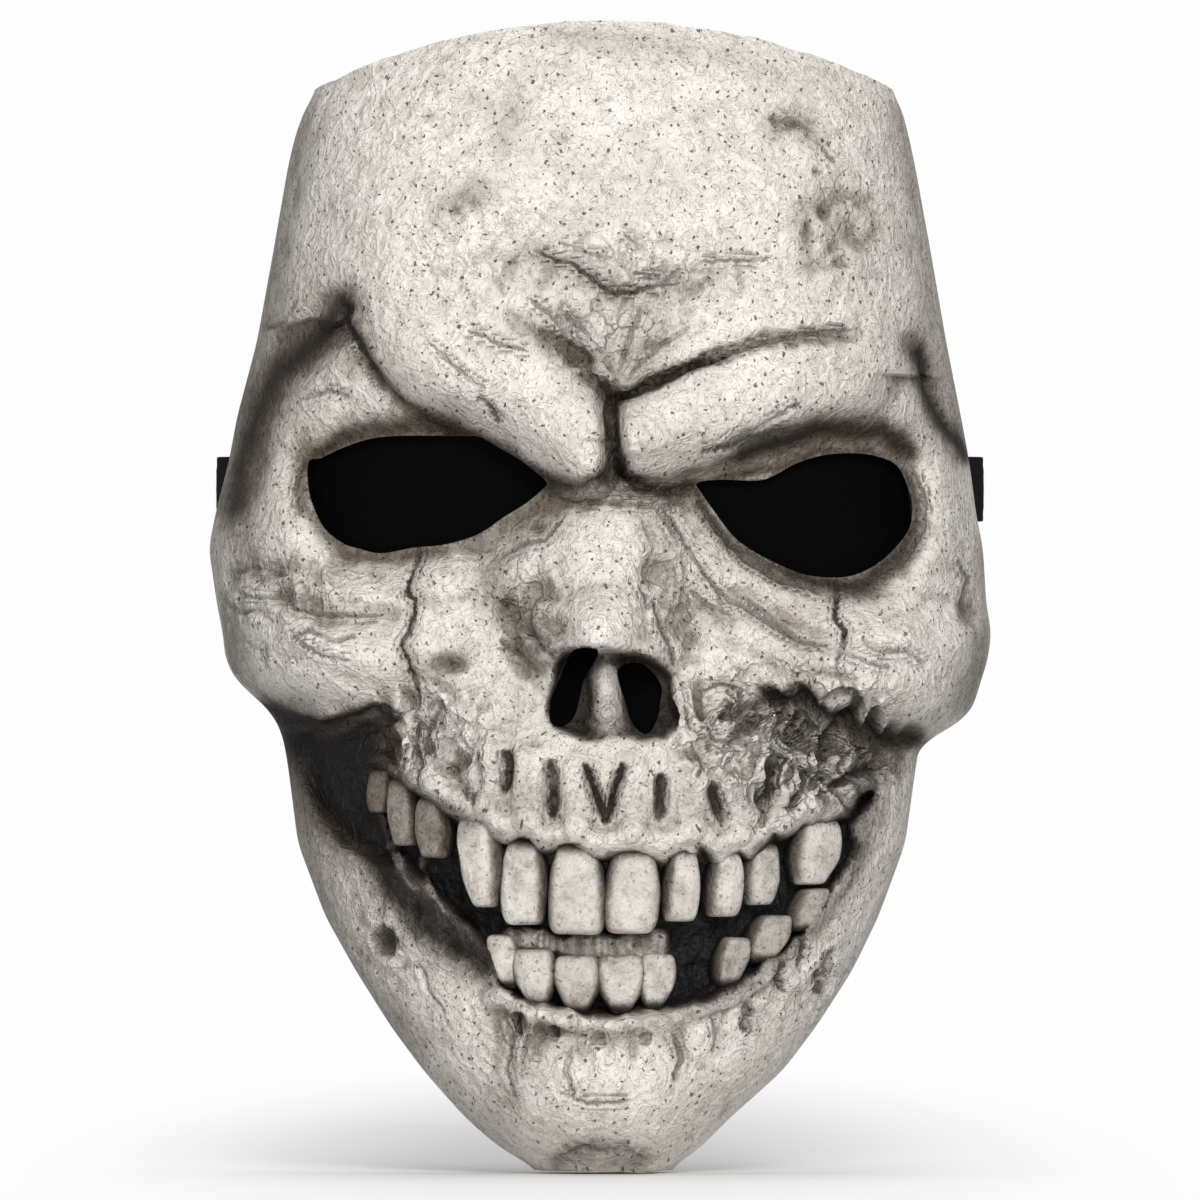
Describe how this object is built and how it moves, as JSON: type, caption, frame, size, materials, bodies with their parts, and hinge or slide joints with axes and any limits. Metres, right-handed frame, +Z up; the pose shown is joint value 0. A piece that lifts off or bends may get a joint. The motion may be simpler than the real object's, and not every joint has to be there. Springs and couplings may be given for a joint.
{
  "type": "skull mask",
  "caption": "Moulded full-face skull mask in weathered bone with bared teeth, gauze-backed eye and nose openings and a black elastic head strap.",
  "frame": {"origin": "where the shell's inner wall sits on the bridge of the wearer's nose, on the middle plane", "axes": "+Z up as worn, the face looks along -Y, +X on the viewer's right"},
  "size_m": [0.1922, 0.203, 0.281],
  "materials": {
    "painted_bone": "matt, airbrushed bone white with near-black recesses",
    "black_gauze": "fine open weave",
    "black_elastic": "woven elastic",
    "tab_cloth": "glued cloth"
  },
  "bodies": {
    "root": {"mask_shell": "painted_bone", "eye_gauze_left": "black_gauze", "eye_gauze_right": "black_gauze", "nose_gauze": "black_gauze", "strap": "black_elastic", "strap_tab_left": "tab_cloth", "strap_tab_right": "tab_cloth"}
  },
  "joints": []
}
